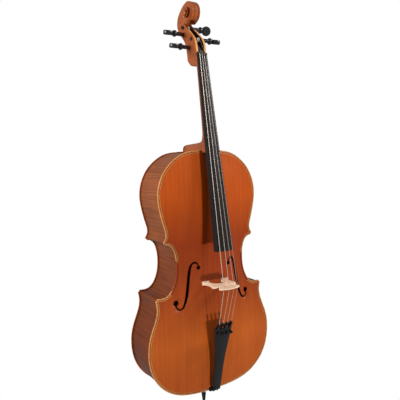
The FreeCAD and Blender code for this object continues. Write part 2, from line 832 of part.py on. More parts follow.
def build_neck():
    """Neck, heel, pegbox and scroll, carved from one piece."""
    blank = prism(runs_wire(head_profile()), V(80, 0, 0))
    blank.translate(V(-40, 0, 0))
    head = one_solid(blank.common(head_taper()))
    head = head.fuse(volute_steps())
    head = head.cut([pegbox_cavity()] + [peg_hole(name) for name in STRINGS])
    neck = neck_shaft().fuse(head)
    feature("neck", one_solid(neck))


def board_section(z, lift):
    """Fingerboard section: flat below, crowned above."""
    half = board_half(z)
    low = glue_y(z) + lift
    edge = glue_y(z) - size("board_edge")
    radius = size("board_radius")
    crown = edge - (radius - math.sqrt(radius * radius - half * half))
    top = Part.Arc(V(-half, edge, z), V(0, crown, z), V(half, edge, z)).toShape()
    sides = [Part.LineSegment(V(half, edge, z), V(half, low, z)).toShape(),
             Part.LineSegment(V(half, low, z), V(-half, low, z)).toShape(),
             Part.LineSegment(V(-half, low, z), V(-half, edge, z)).toShape()]
    return Part.Wire([top] + sides)


def build_fingerboard():
    """The ebony board, hollowed under its free end."""
    board = Part.makeLoft([board_section(board_end, 0.0), board_section(nut_z, 0.0)], True, True)
    hollow_radius = 26.0
    start = V(0, glue_y(board_end - 20) + 16.0, board_end - 20)
    end = V(0, glue_y(body_top - 5) + 25.5, body_top - 5)
    hollow = rod_between(start, end, hollow_radius)
    feature("fingerboard", one_solid(board.cut(hollow)))


def crown_y(z, x):
    """Front surface of the fingerboard at a height and distance from its middle."""
    half = board_half(z)
    radius = size("board_radius")
    edge = glue_y(z) - size("board_edge")
    top = edge - (radius - math.sqrt(radius * radius - half * half))
    return top + radius - math.sqrt(radius * radius - x * x)


# ---------------------------------------------------------------- strings
GAUGES = {"c": 0.80, "g": 0.60, "d": 0.47, "a": 0.38}       # radii
ORDER = {"c": -1.5, "g": -0.5, "d": 0.5, "a": 1.5}          # place across the fingerboard
BRIDGE_CROWN = 62.0


def string_x(name, spread):
    """Distance of a string from the middle, where the outer two are a spread apart."""
    return ORDER[name] / 3.0 * size(spread)


def nut_point(name):
    """Where a string leaves the nut's front edge."""
    x = string_x(name, "nut_spread")
    z = nut_z + size("nut_length") / 2.0
    return V(x, crown_y(nut_z, x) - 0.8 - GAUGES[name], z)


def bridge_point(name):
    """Where a string crosses the bridge."""
    x = string_x(name, "bridge_spread")
    drop = BRIDGE_CROWN - math.sqrt(BRIDGE_CROWN ** 2 - x * x)
    return V(x, bridge_top_y + drop - 0.3, bridge_z - 3.0)


def tail_place(x, along, out):
    """A point in the tailpiece's own directions: across, along it and out of its face."""
    lean = math.radians(size("tail_lean"))
    origin = V(0, -edge_face - 14.5, base + 3.0)
    up = V(0, -math.sin(lean), math.cos(lean))
    normal = V(0, -math.cos(lean), -math.sin(lean))
    return origin + X_AXIS * x + up * along + normal * out


BALL_ALONG = 231.5
BALL_OUT = 4.2
BALL_RADIUS = 2.1


def ball_point(name):
    """Centre of a string's ball end, held by its tuner."""
    return tail_place(string_x(name, "tail_spread"), BALL_ALONG, BALL_OUT)


WINDING_HALF = 4.6


def peg_radius_at(along):
    """Radius of a peg's tapered shaft, at a distance from the pegbox's middle."""
    part = (along - PEG_START) / PEG_TAPER
    return size("peg_end_radius") + (size("peg_radius") - size("peg_end_radius")) * part


def winding_radius(name):
    """Outside of the string's turns on its peg."""
    side, _, _, x = PEGS[name]
    return peg_radius_at(x * side + WINDING_HALF) + 2.0 * GAUGES[name] + 0.1


def winding_point(name):
    """Where a string meets its turns on the peg, just clear of them."""
    _, y, height, x = PEGS[name]
    centre = V(x, y, head_z + height)
    nut = nut_point(name)
    reach = winding_radius(name) + GAUGES[name] + 0.35
    toward = V(0, centre.y - nut.y, centre.z - nut.z)
    distance = toward.Length
    tilt = math.asin(reach / distance)
    turn = tilt if name == "d" else -tilt
    angle = math.atan2(toward.y, toward.z) + turn
    run = math.sqrt(distance * distance - reach * reach)
    return V(x, nut.y + run * math.sin(angle), nut.z + run * math.cos(angle))


def build_strings():
    """Each string from its peg over the nut and the bridge to its ball end."""
    for name in STRINGS:
        radius = GAUGES[name]
        ball = ball_point(name)
        over = bridge_point(name)
        end = ball + (over - ball).normalize() * (BALL_RADIUS + 0.5)
        path = [winding_point(name), nut_point(name), over, end]
        feature("string_" + name, one_solid(bent_rod(path, radius)))


def string_cutters(clear):
    """Grooves that the strings lie in."""
    cutters = []
    for name in STRINGS:
        path = [winding_point(name), nut_point(name), bridge_point(name), ball_point(name)]
        for first, second in zip(path, path[1:]):
            cutters.append(rod_between(first, second, GAUGES[name] + clear))
        cutters.append(Part.makeSphere(GAUGES[name] + clear, path[1]))
        cutters.append(Part.makeSphere(GAUGES[name] + clear, path[2]))
    return cutters


def build_nut():
    """The ebony nut at the top of the fingerboard."""
    low = nut_z
    high = nut_z + size("nut_length")
    half = size("nut_width") / 2.0
    wires = []
    for z, proud in ((low, 0.6), (low + 3.5, 1.4), (high, -0.6)):
        base_y = glue_y(z)
        edge = crown_y(nut_z, half) - proud
        crown = crown_y(nut_z, 0) - proud
        arc = Part.Arc(V(-half, edge, z), V(0, crown, z), V(half, edge, z)).toShape()
        sides = [Part.LineSegment(V(half, edge, z), V(half, base_y, z)).toShape(),
                 Part.LineSegment(V(half, base_y, z), V(-half, base_y, z)).toShape(),
                 Part.LineSegment(V(-half, base_y, z), V(-half, edge, z)).toShape()]
        wires.append(Part.Wire([arc] + sides))
    blank = Part.makeLoft(wires, True, True)
    feature("nut", one_solid(blank.cut(string_cutters(0.03))))


# ---------------------------------------------------------------- bridge
BRIDGE_RUNS = [
    [(0, 90), (16, 87.9), (31, 83.3)],
    [(31, 83.3), (34.5, 78.5), (32.5, 73.0), (27, 71)],
    [(27, 71), (20.5, 69), (17.5, 63), (20, 56.5), (27, 54), (33, 56.5), (38, 55.5)],
    [(38, 55.5), (41.5, 50), (39, 43), (36.5, 34), (36, 22), (37.5, 12), (41.5, 7)],
    [(41.5, 7), (45, 5)],
    [(45, 5), (45, -9)],
    [(45, -9), (22, -9)],
    [(22, -9), (22, 4)],
    [(22, 4), (26, 9), (27.5, 18), (23.5, 29), (14, 36), (0, 38.5)],
]
HEART = [(0, 64), (5, 68.5), (10.5, 65.5), (9.5, 59), (0, 50)]


def bridge_plan(pairs):
    """Bridge points: across, and height above the crest of the front plate."""
    return [V(x, bridge_foot_y - height, 0) for x, height in pairs]


def build_bridge():
    """The maple bridge: two legs, a heart and a crowned top, thinner towards the strings."""
    runs = mirrored_runs([bridge_plan(run) for run in BRIDGE_RUNS])
    foot = size("bridge_foot")
    blank = prism(runs_wire(runs), V(0, 0, foot))
    blank.translate(V(0, 0, bridge_z - foot / 2.0))
    heart = prism(runs_wire(mirrored_runs([bridge_plan(HEART)])), V(0, 0, 30))
    heart.translate(V(0, 0, bridge_z - 15))
    low = bridge_z - foot / 2.0
    taper = polygon([V(-60, bridge_foot_y + 5, low + foot),
                     V(-60, bridge_top_y - 10, low + size("bridge_top")),
                     V(-60, bridge_top_y - 10, low + 40), V(-60, bridge_foot_y + 5, low + 40)])
    wedge = prism(taper, V(120, 0, 0))
    bridge = blank.cut([heart, wedge, under(front_face, -1, 110.0, -0.02)] + string_cutters(0.03))
    feature("bridge", one_solid(bridge))


# ---------------------------------------------------------------- tailpiece and tuners
TAIL_FORM = [(0, 10.5, 1.2, 3.4), (12, 12.6, 1.6, 5.2), (70, 14.8, 2.0, 8.0), (140, 19.5, 2.8, 9.5),
             (195, 26.4, 4.2, 11.0), (218, 28.8, 4.6, 11.5)]
TUNER_PIN = (214.5, -5.6)
TUNER_SCREW = 204.0
POCKET_START = 197.0


def tail_section(along, half, crown, deep):
    """Tailpiece section: crowned face, flat underside."""
    wide_low = half - 0.8
    arc = Part.Arc(tail_place(-half, along, 0), tail_place(0, along, crown), tail_place(half, along, 0))
    corners = [tail_place(half, along, 0), tail_place(wide_low, along, -deep),
               tail_place(-wide_low, along, -deep), tail_place(-half, along, 0)]
    edges = [Part.LineSegment(first, second).toShape() for first, second in zip(corners, corners[1:])]
    return Part.Wire([arc.toShape()] + edges)


def tail_box(x0, x1, along0, along1, out0, out1):
    """A box in the tailpiece's own directions."""
    corners = [tail_place(x, along0, out0) for x in (x0, x1)]
    wire = polygon([corners[0], corners[1], tail_place(x1, along1, out0), tail_place(x0, along1, out0)])
    return prism(wire, tail_place(0, 0, out1) - tail_place(0, 0, out0))


def build_tailpiece():
    """The tailpiece, hollow under its wide end for the four built-in tuners."""
    blank = Part.makeLoft([tail_section(*form) for form in TAIL_FORM], True, False)
    pocket = tail_box(-24.8, 24.8, POCKET_START, 230, -20, -1.2)
    cutters = [pocket]
    for name in STRINGS:
        x = string_x(name, "tail_spread")
        hole = rod_between(tail_place(x, TUNER_SCREW, -12), tail_place(x, TUNER_SCREW, 12),
                           size("screw_radius") + 0.08)
        cutters.append(hole)
    ends = [tail_place(-40, *TUNER_PIN), tail_place(40, *TUNER_PIN)]
    cutters.append(rod_between(ends[0], ends[1], size("pin_radius") + 0.02))
    for x in (-5.0, 5.0):
        cutters.append(rod_between(tail_place(x, 9.0, -9), tail_place(x, 9.0, 9), 1.32))
    tail = one_solid(blank.cut(cutters))
    fret = tail_box(-23.5, 23.5, 213.6, 215.6, 0.5, 6.2)
    groove = tail_box(-23.5, 23.5, 213.6, 215.6, -3, 3.4)
    rim = Part.makeLoft([tail_section(212, 28, 6.0, 8), tail_section(217, 28.2, 6.0, 8)], True, True)
    fret = fret.common(rim)
    fret = one_solid(fret.cut(groove))
    feature("tailpiece", one_solid(tail.cut(fret)))
    feature("tailpiece_fret", fret)
    half = 26.2
    feature("tuner_pivot_pin", rod_between(tail_place(-half, *TUNER_PIN), tail_place(half, *TUNER_PIN),
                                           size("pin_radius")))


LEVER_WIDTH = 5.6
LEVER_FORM = [(199, -9.0), (199, -6.4), (208, -6.2), (211.5, -3.4), (219, -3.4), (226, -1.6), (226, 7.0),
              (236.5, 7.0), (237.5, 5.5), (237.5, 0.2), (228, -4.2), (219, -7.8), (208, -8.6)]


def build_tuners():
    """Four fine tuners: a lever on the common pin, a screw that pushes it, and the screw's knob."""
    for name in STRINGS:
        x = string_x(name, "tail_spread")
        low = x - LEVER_WIDTH / 2.0
        corners = [tail_place(low, along, out) for along, out in LEVER_FORM]
        lever = prism(polygon(corners), V(LEVER_WIDTH, 0, 0))
        ends = (tail_place(-40, *TUNER_PIN), tail_place(40, *TUNER_PIN))
        pin_hole = rod_between(ends[0], ends[1], size("pin_radius") + 0.06)
        slot_half = GAUGES[name] + 0.5
        slot = tail_box(x - slot_half, x + slot_half, BALL_ALONG, 245, BALL_OUT - GAUGES[name] - 3.6, 12)
        well = rod_between(tail_place(x, BALL_ALONG - 0.3, BALL_OUT - BALL_RADIUS),
                           tail_place(x, BALL_ALONG - 0.3, 12), BALL_RADIUS + 0.25)
        feature("tuner_lever_" + name, one_solid(lever.cut([pin_hole, slot, well])))
        feature("string_ball_" + name, Part.makeSphere(BALL_RADIUS, ball_point(name)))
        screw_frame = tail_frame(x, TUNER_SCREW, -6.0)
        turned("tuner_screw_" + name, [
            ("0", "0"), ("Sizes.screw_radius - 0.5", "0"), ("Sizes.screw_radius", "0.6"),
            ("Sizes.screw_radius", "Sizes.screw_length"), ("0", "Sizes.screw_length")], screw_frame)
        knob_frame = tail_frame(x, TUNER_SCREW, -6.0)
        knob_body(name, knob_frame)


def tail_frame(x, along, out):
    """Placement whose Z axis stands out of the tailpiece's face."""
    turn = FreeCAD.Rotation(X_AXIS, 90.0 + size("tail_lean"))
    return FreeCAD.Placement(tail_place(x, along, out), turn)


def knob_body(name, placement):
    """A knurled knob: a turned disc with notches cut round its rim."""
    label = "tuner_knob_" + name
    body = turned(label, [
        ("Sizes.screw_radius + 0.05", "Sizes.screw_length - Sizes.knob_height + 1"),
        ("Sizes.knob_radius - 1.4", "Sizes.screw_length - Sizes.knob_height + 1"),
        ("Sizes.knob_radius", "Sizes.screw_length - Sizes.knob_height + 2.2"),
        ("Sizes.knob_radius", "Sizes.screw_length + 0.4"),
        ("Sizes.knob_radius - 0.6", "Sizes.screw_length + 1"),
        ("Sizes.screw_radius + 0.05", "Sizes.screw_length + 1")], placement)
    notch = body.newObject("Sketcher::SketchObject", label + "_notch")
    notch.AttachmentSupport = [(origin_plane(body, "XY_Plane"), "")]
    notch.MapMode = "FlatFace"
    notch.addGeometry(Part.Circle(V(size("knob_radius") + 0.35, 0, 0), Z_AXIS, 0.75), False)
    notch.addConstraint(Sketcher.Constraint("Radius", 0, 0.75))
    notch.addConstraint(Sketcher.Constraint("DistanceX", -1, 1, 0, 3, size("knob_radius") + 0.35))
    notch.setExpression("Constraints[1]", "Sizes.knob_radius + 0.35")
    notch.addConstraint(Sketcher.Constraint("DistanceY", -1, 1, 0, 3, 0.0))
    doc.recompute()
    cut = body.newObject("PartDesign::Pocket", label + "_flute")
    cut.Profile = notch
    cut.Type = 1
    cut.Midplane = True
    ring = body.newObject("PartDesign::PolarPattern", label + "_flutes")
    ring.Originals = [cut]
    ring.Axis = (notch, ["N_Axis"])
    ring.Angle = 360.0
    ring.Occurrences = 14
    body.Tip = ring


def build_tailgut():
    """The cord from the tailpiece over the saddle and round the endpin's socket."""
    radius = 1.2
    loop = 12.2
    level = base - 2.4
    strands = []
    for side in (-1, 1):
        path = [tail_place(side * 5.0, 9.0, 3.0), tail_place(side * 5.0, 9.0, -8.2),
                V(side * 6.0, -edge_face - 9.6, base + 0.2), V(side * 6.6, -edge_face - 7.4, level),
                V(side * loop, 0, level)]
        strands.append(bent_rod(path, radius))
        knot = Part.makeSphere(2.3, tail_place(side * 5.0, 9.0, 4.3))
        strands.append(knot)
    ring = Part.makeTorus(loop, radius, V(0, 0, level), Z_AXIS)
    half = ring.common(Part.makeBox(60, 30, 20, V(-30, 0, level - 10)))
    cord = strands[0].fuse(strands[1:] + [half])
    feature("tailgut", one_solid(cord))


def build_saddle():
    """The ebony saddle that takes the tailgut's pressure at the plate's edge."""
    low = "Sizes.body_base - 1.1"
    front = edge_face + 8.0
    outline_pairs = [
        (str(-rib_face), low), (str(-rib_face), "Sizes.body_base + 10"),
        (str(-edge_face), "Sizes.body_base + 10"), (str(-front), "Sizes.body_base + 4"),
        (str(-front), "Sizes.body_base + 0.6"), (str(-front + 1.6), low)]
    padded("saddle", "YZ_Plane", outline_pairs, "38")


# ---------------------------------------------------------------- pegs
def build_pegs():
    """Four tapered ebony pegs, each with its string's turns wound on it."""
    for name in STRINGS:
        frame = peg_frame(name)
        label = "peg_" + name
        reach = size("peg_reach")
        outer = size("peg_radius")
        shaft = Part.makeCone(size("peg_end_radius"), outer, PEG_TAPER, V(0, 0, PEG_START), Z_AXIS)
        profile = [(0, 36), (outer - 0.2, 36), (outer + 0.6, 42), (9.6, 45.0), (10.2, 48), (9.2, 51),
                   (5.8, 54), (5.0, 58), (0, 58)]
        wire = runs_wire([[V(radius, 0, z) for radius, z in profile[:2]],
                          [V(radius, 0, z) for radius, z in profile[1:8]],
                          [V(radius, 0, z) for radius, z in profile[7:]],
                          [V(0, 0, 58), V(0, 0, 36)]])
        collar = Part.Face(wire).revolve(ORIGIN, Z_AXIS, 360)
        head = size("peg_head")
        centre = V(0, 0, reach - head)
        disc = Part.makeSphere(head, centre)
        slab = Part.makeBox(2 * head, 13.0, 4 * head, V(-head, -6.5, reach - 3 * head))
        disc = disc.common(slab)
        peg = one_solid(shaft.fuse([collar, disc]))
        feature(label, peg, frame)
        side, y, height, x = PEGS[name]
        low_end = x * side - WINDING_HALF
        bore = peg_radius_at(low_end + 2 * WINDING_HALF) + 0.02
        turns = winding_tube(bore, winding_radius(name), GAUGES[name], 2 * WINDING_HALF)
        start = FreeCAD.Placement(V(0, 0, low_end), FreeCAD.Rotation())
        feature("winding_" + name, turns, frame.multiply(start))


def winding_tube(bore, outside, gauge, length):
    """The turns of a string lying side by side, as one ribbed sleeve."""
    count = max(3, int(length / (2.0 * gauge)))
    pitch = length / count
    edges = []
    for index in range(count):
        low = pitch * index
        start = V(outside - pitch * 0.25, 0, low)
        crest = V(outside, 0, low + pitch / 2.0)
        end = V(outside - pitch * 0.25, 0, low + pitch)
        edges.append(Part.Arc(start, crest, end).toShape())
    first = edges[0].Vertexes[0].Point
    last = edges[-1].Vertexes[-1].Point
    edges.append(Part.LineSegment(last, V(bore, 0, length)).toShape())
    edges.append(Part.LineSegment(V(bore, 0, length), V(bore, 0, 0)).toShape())
    edges.append(Part.LineSegment(V(bore, 0, 0), first).toShape())
    return Part.Face(Part.Wire(edges)).revolve(ORIGIN, Z_AXIS, 360)


# ---------------------------------------------------------------- endpin
def build_endpin():
    """The sliding rod, its rubber tip, its socket in the body and the screw that locks it."""
    turned("endpin_tip", [
        ("0", "0"), ("Sizes.tip_radius", "0"), ("Sizes.tip_radius", "8"), ("Sizes.tip_radius + 0.7", "8.6"),
        ("Sizes.tip_radius + 2.9", "Sizes.tip_height - 2"), ("Sizes.tip_radius + 2.2", "Sizes.tip_height"),
        ("Sizes.rod_radius", "Sizes.tip_height"), ("Sizes.rod_radius - 1.0", "10"), ("0", "10")])
    rod = doc.addObject("Part::Cylinder", "endpin_rod_stock")
    rod.setExpression("Radius", "Sizes.rod_radius")
    rod.setExpression("Height", "Sizes.rod_length")
    rod.setExpression("Placement.Base.z", "Sizes.tip_height")
    nose = doc.addObject("Part::Cone", "endpin_rod_nose")
    nose.setExpression("Radius1", "Sizes.rod_radius - 1.0")
    nose.setExpression("Radius2", "Sizes.rod_radius")
    nose.setExpression("Height", "Sizes.tip_height - 10")
    nose.setExpression("Placement.Base.z", "10")
    whole = doc.addObject("Part::Fuse", "endpin_rod")
    whole.Base = rod
    whole.Tool = nose
    keep(whole, "endpin_rod")

    rib_low = "Sizes.body_base + Sizes.plate_overhang"
    turned("endpin_socket", [
        ("Sizes.rod_radius + Sizes.rod_clearance", "Sizes.body_base - 8"),
        ("Sizes.socket_radius + 3.5", "Sizes.body_base - 8"),
        ("Sizes.socket_radius + 3.5", "Sizes.body_base - 4.4"),
        ("Sizes.socket_radius - 1.7", "Sizes.body_base - 3.9"),
        ("Sizes.socket_radius - 1.7", "Sizes.body_base - 0.8"),
        ("Sizes.socket_radius + 2.5", "Sizes.body_base - 0.3"),
        ("Sizes.socket_radius + 2.5", rib_low),
        ("Sizes.socket_radius", rib_low),
        ("Sizes.socket_radius - 1.2", "Sizes.body_base + 52"),
        ("Sizes.rod_radius + Sizes.rod_clearance", "Sizes.body_base + 52")])

    collar = doc.addObject("Part::Cylinder", "endpin_collar_ring")
    collar.setExpression("Radius", "Sizes.collar_radius")
    collar.setExpression("Height", "Sizes.collar_height")
    collar.setExpression("Placement.Base.z", "Sizes.body_base - 8 - Sizes.collar_height")
    bore = doc.addObject("Part::Cylinder", "endpin_collar_bore")
    bore.setExpression("Radius", "Sizes.rod_radius + Sizes.rod_clearance")
    bore.setExpression("Height", "Sizes.collar_height * 2")
    bore.setExpression("Placement.Base.z", "Sizes.body_base - 8 - Sizes.collar_height * 1.5")
    thread = doc.addObject("Part::Cylinder", "endpin_collar_thread")
    thread.setExpression("Radius", "Sizes.thumb_radius + 0.08")
    thread.setExpression("Height", "Sizes.collar_radius * 2")
    thread.Placement = FreeCAD.Placement(V(0, 0, thumb_level()), FreeCAD.Rotation(Y_AXIS, 90))
    holes = doc.addObject("Part::MultiFuse", "endpin_collar_holes")
    holes.Shapes = [bore, thread]
    ferrule = doc.addObject("Part::Cut", "endpin_collar_blank")
    ferrule.Base = collar
    ferrule.Tool = holes
    rounded = doc.addObject("Part::Chamfer", "endpin_collar")
    doc.recompute()
    rounded.Base = ferrule
    rims = []
    for index, edge in enumerate(ferrule.Shape.Edges, start=1):
        box = edge.BoundBox
        if abs(box.XLength - 2 * size("collar_radius")) < 0.1 and box.ZLength < 0.1:
            rims.append((index, 0.8, 0.8))
    rounded.Edges = rims
    keep(rounded, "endpin_collar")

    screw_start = V(size("rod_radius") + 0.14, 0, thumb_level())
    screw_frame = FreeCAD.Placement(screw_start, FreeCAD.Rotation(Y_AXIS, 90))
    turned("endpin_screw", [
        ("0", "0"), ("Sizes.thumb_radius - 0.5", "0"), ("Sizes.thumb_radius", "0.6"),
        ("Sizes.thumb_radius", "21"), ("0", "21")], screw_frame)
    grip = Part.makeCylinder(5.0, 11.0, V(0, 0, 12.0), Z_AXIS)
    wing = Part.makeBox(20.0, 4.0, 9.0, V(-10.0, -2.0, 13.0))
    wing = wing.common(Part.makeCylinder(10.0, 9.0, V(0, 0, 13.0), Z_AXIS))
    head = grip.fuse(wing).cut(Part.makeCylinder(size("thumb_radius") + 0.06, 40.0, V(0, 0, 0), Z_AXIS))
    feature("endpin_thumb", one_solid(head), screw_frame)


def thumb_level():
    """Height of the endpin's locking screw."""
    return size("body_base") - 8.0 - size("collar_height") / 2.0


# ---------------------------------------------------------------- build, check, write
build_body()
build_neck()
build_fingerboard()
build_nut()
build_strings()
build_bridge()
build_pegs()
build_tailpiece()
build_tuners()
build_tailgut()
build_saddle()
build_endpin()
doc.recompute()

for obj in doc.Objects:
    if "Invalid" in obj.State or "Error" in obj.State:
        raise RuntimeError("%s could not be computed: %s" % (obj.Name, obj.State))
for obj in made:
    if obj.Shape.isNull() or not obj.Shape.isValid():
        raise RuntimeError("%s has no valid shape" % obj.Label)

os.makedirs("parts", exist_ok=True)
for obj in made:
    obj.Shape.exportStep("parts/%s.step" % obj.Label)
print("%d sub-parts written" % len(made))
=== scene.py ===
"""The cello's looks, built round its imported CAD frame."""
import math
import bpy
import bmesh
from mathutils import Matrix, Vector


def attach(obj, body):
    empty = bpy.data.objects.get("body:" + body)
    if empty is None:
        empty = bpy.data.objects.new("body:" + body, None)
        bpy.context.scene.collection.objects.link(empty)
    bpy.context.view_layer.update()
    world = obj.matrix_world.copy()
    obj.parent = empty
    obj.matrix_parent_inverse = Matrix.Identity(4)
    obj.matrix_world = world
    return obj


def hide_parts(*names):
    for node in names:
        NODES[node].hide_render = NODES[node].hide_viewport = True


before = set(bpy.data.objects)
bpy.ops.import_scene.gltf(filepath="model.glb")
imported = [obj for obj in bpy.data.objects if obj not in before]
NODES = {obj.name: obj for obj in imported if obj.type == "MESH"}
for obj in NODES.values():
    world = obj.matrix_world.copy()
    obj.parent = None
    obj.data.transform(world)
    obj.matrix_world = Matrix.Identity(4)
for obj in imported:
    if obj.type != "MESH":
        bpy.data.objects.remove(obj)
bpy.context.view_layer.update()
MM = 0.001
BODY_HEIGHTS = (0.07, 0.82)         # the body's lower and upper end, where its tones run
NECK_FLAME = (30, 10, 90)           # how tightly the neck's flames repeat along each axis
NECK_GRAIN = (420, 420, 14)


# ------------------------------------------------------------------ material tools

def srgb(red, green, blue):
    """A colour given as 0 to 255 values, in linear light."""
    def line(value):
        value /= 255.0
        return value / 12.92 if value <= 0.04045 else ((value + 0.055) / 1.055) ** 2.4
    return (line(red), line(green), line(blue))


def node_at(tree, kind, **values):
    made = tree.nodes.new(kind)
    for name, value in values.items():
        setattr(made, name, value)
    return made


def feed(tree, target, socket, value):
    """A link, or a plain number or colour, into one socket."""
    if isinstance(value, bpy.types.NodeSocket):
        tree.links.new(value, target.inputs[socket])
    elif target.inputs[socket].type == "RGBA":
        target.inputs[socket].default_value = (*value, 1.0)
    else:
        target.inputs[socket].default_value = value


def stretched(tree, where, stretch):
    """Coordinates stretched along each axis."""
    mapping = node_at(tree, "ShaderNodeMapping")
    tree.links.new(where, mapping.inputs["Vector"])
    feed(tree, mapping, "Scale", stretch)
    return mapping.outputs["Vector"]


def place(tree, stretch=(1, 1, 1)):
    """Object coordinates, stretched along each axis."""
    return stretched(tree, node_at(tree, "ShaderNodeTexCoord").outputs["Object"], stretch)


def noise(tree, where, scale, detail=3.0, rough=0.5, warp=0.0):
    made = node_at(tree, "ShaderNodeTexNoise")
    for socket, value in (("Vector", where), ("Scale", scale), ("Detail", detail), ("Roughness", rough),
                          ("Distortion", warp)):
        feed(tree, made, socket, value)
    return made.outputs["Fac"]


def ramp(tree, value, stops):
    """Colours at places from 0 to 1."""
    made = node_at(tree, "ShaderNodeValToRGB")
    while len(made.color_ramp.elements) < len(stops):
        made.color_ramp.elements.new(0.5)
    for element, (at, colour) in zip(made.color_ramp.elements, stops):
        element.position = at
        element.color = (*colour, 1.0)
    feed(tree, made, "Fac", value)
    return made.outputs["Color"]


def spread(tree, value, low, high, to_low=0.0, to_high=1.0):
    made = node_at(tree, "ShaderNodeMapRange")
    for socket, number in (("Value", value), ("From Min", low), ("From Max", high), ("To Min", to_low),
                           ("To Max", to_high)):
        feed(tree, made, socket, number)
    return made.outputs["Result"]


def mixed(tree, how, amount, one, two):
    """Two colours blended, as Blender's Mix node does it."""
    made = node_at(tree, "ShaderNodeMix", data_type="RGBA", blend_type=how)
    feed(tree, made, 0, amount)
    feed(tree, made, 6, one)
    feed(tree, made, 7, two)
    return made.outputs[2]


def maths(tree, how, one, two=0.0):
    made = node_at(tree, "ShaderNodeMath", operation=how)
    feed(tree, made, 0, one)
    feed(tree, made, 1, two)
    return made.outputs[0]


def axis_of(tree, vector, axis):
    made = node_at(tree, "ShaderNodeSeparateXYZ")
    tree.links.new(vector, made.inputs[0])
    return made.outputs[axis]


def shade(tree, colour, rough, bumps=(), metal=0.0, coat=0.0, coat_rough=0.1, specular=0.5):
    """The shader's own sockets, with bumps as (height, strength, distance)."""
    shader = tree.nodes["Principled BSDF"]
    feed(tree, shader, "Base Color", colour)
    feed(tree, shader, "Roughness", rough)
    shader.inputs["Metallic"].default_value = metal
    shader.inputs["Coat Weight"].default_value = coat
    shader.inputs["Coat Roughness"].default_value = coat_rough
    shader.inputs["Specular IOR Level"].default_value = specular
    normal = None
    for height, strength, distance in bumps:
        bump = node_at(tree, "ShaderNodeBump")
        feed(tree, bump, "Height", height)
        feed(tree, bump, "Strength", strength)
        feed(tree, bump, "Distance", distance)
        if normal is not None:
            tree.links.new(normal, bump.inputs["Normal"])
        normal = bump.outputs["Normal"]
    if normal is not None:
        tree.links.new(normal, shader.inputs["Normal"])


def multiplied(tree, amount, colour, value, stops):
    """A colour darkened or lightened by a ramp over a pattern."""
    return mixed(tree, "MULTIPLY", amount, colour, ramp(tree, value, stops))


def added(name, data):
    """A new object in the scene."""
    made = bpy.data.objects.new(name, data)
    bpy.context.scene.collection.objects.link(made)
    return made


def material(name):
    made = bpy.data.materials.new(name)
    made.use_nodes = True
    return made, made.node_tree


# ------------------------------------------------------------------ materials

def spruce_front():
    """Red-brown varnish over quarter-cut spruce, with year rings that run up the plate."""
    made, tree = material("spruce_front")
    broad = noise(tree, place(tree, (1, 0.6, 0.55)), 7.0, 3.0, 0.55)
    rings = noise(tree, place(tree, (520, 40, 2.2)), 1.0, 2.0, 0.6, 0.15)
    fine = noise(tree, place(tree, (1500, 150, 9)), 1.0, 2.0, 0.6)
    height = axis_of(tree, place(tree), 2)
    zone = ramp(tree, spread(tree, height, *BODY_HEIGHTS), [
        (0.0, srgb(178, 84, 30)), (0.22, srgb(190, 94, 32)), (0.42, srgb(160, 68, 26)),
        (0.62, srgb(150, 58, 20)), (0.8, srgb(186, 80, 20)), (1.0, srgb(188, 84, 24))])
    patch = multiplied(tree, 0.75, zone, broad, [(0.3, (0.78, 0.7, 0.64)), (0.62, (1.1, 1.06, 1.02))])
    grain = multiplied(tree, 0.3, patch, rings, [(0.36, (0.66, 0.55, 0.46)), (0.55, (1.06, 1.06, 1.06))])
    colour = multiplied(tree, 0.35, grain, fine, [(0.35, (0.7, 0.62, 0.55)), (0.6, (1.05, 1.05, 1.05))])
    rough = spread(tree, noise(tree, place(tree), 55.0, 4.0), 0.3, 0.7, 0.28, 0.42)
    ripple = noise(tree, place(tree, (60, 60, 12)), 1.0, 2.0)
    shade(tree, colour, rough, [(rings, 0.08, 0.0003), (ripple, 0.08, 0.0004)],
          coat=0.06, coat_rough=0.2, specular=0.22)
    return made


def flamed(name, dark, light, flame_scale, grain_scale, mirror=False, strength=0.75, tone=None,
           flutes=False):
    """Varnished maple: flames across the grain, short flecks and pores along it."""
    made, tree = material(name)
    where = place(tree)
    if mirror:
        split = node_at(tree, "ShaderNodeSeparateXYZ")
        tree.links.new(where, split.inputs[0])
        join = node_at(tree, "ShaderNodeCombineXYZ")
        side = maths(tree, "ABSOLUTE", split.outputs[0])
        tree.links.new(side, join.inputs[0])
        tree.links.new(split.outputs[1], join.inputs[1])
        slant = maths(tree, "ADD", split.outputs[2], maths(tree, "MULTIPLY", side, 0.28))
        tree.links.new(slant, join.inputs[2])
        where = join.outputs[0]
    flame = noise(tree, stretched(tree, where, flame_scale), 1.0, 2.5, 0.55, 0.6)
    grain = noise(tree, stretched(tree, where, grain_scale), 1.0, 3.0, 0.6)
    broad = noise(tree, where, 9.0, 2.0)
    between = tuple((a + 2 * b) / 3 for a, b in zip(dark, light))
    base = ramp(tree, flame, [(0.3, dark), (0.46, between), (0.66, light)])
    even = mixed(tree, "MIX", 1.0 - strength, base, tuple((a + b) / 2 for a, b in zip(dark, light)))
    worn = multiplied(tree, 0.6, even, broad, [(0.3, (0.66, 0.6, 0.56)), (0.66, (1.12, 1.1, 1.06))])
    colour = multiplied(tree, 0.4, worn, grain, [(0.34, (0.6, 0.52, 0.46)), (0.55, (1.04, 1.04, 1.04))])
    # tone, when given, changes the colour with height on the body; for the ribs it is painted shade
    if tone:
        colour = multiplied(tree, 1.0, colour, spread(tree, axis_of(tree, where, 2), *BODY_HEIGHTS), tone)
    rough = spread(tree, broad, 0.3, 0.7, 0.3, 0.42)
    bumps = [(grain, 0.04, 0.0002), (flame, 0.1, 0.0008)]
    if flutes:
        bumps.append((hollows(tree, where), 1.0, 0.0035))
    shade(tree, colour, rough, bumps, coat=0.45 if flutes else 0.08, coat_rough=0.14, specular=0.28)
    return made


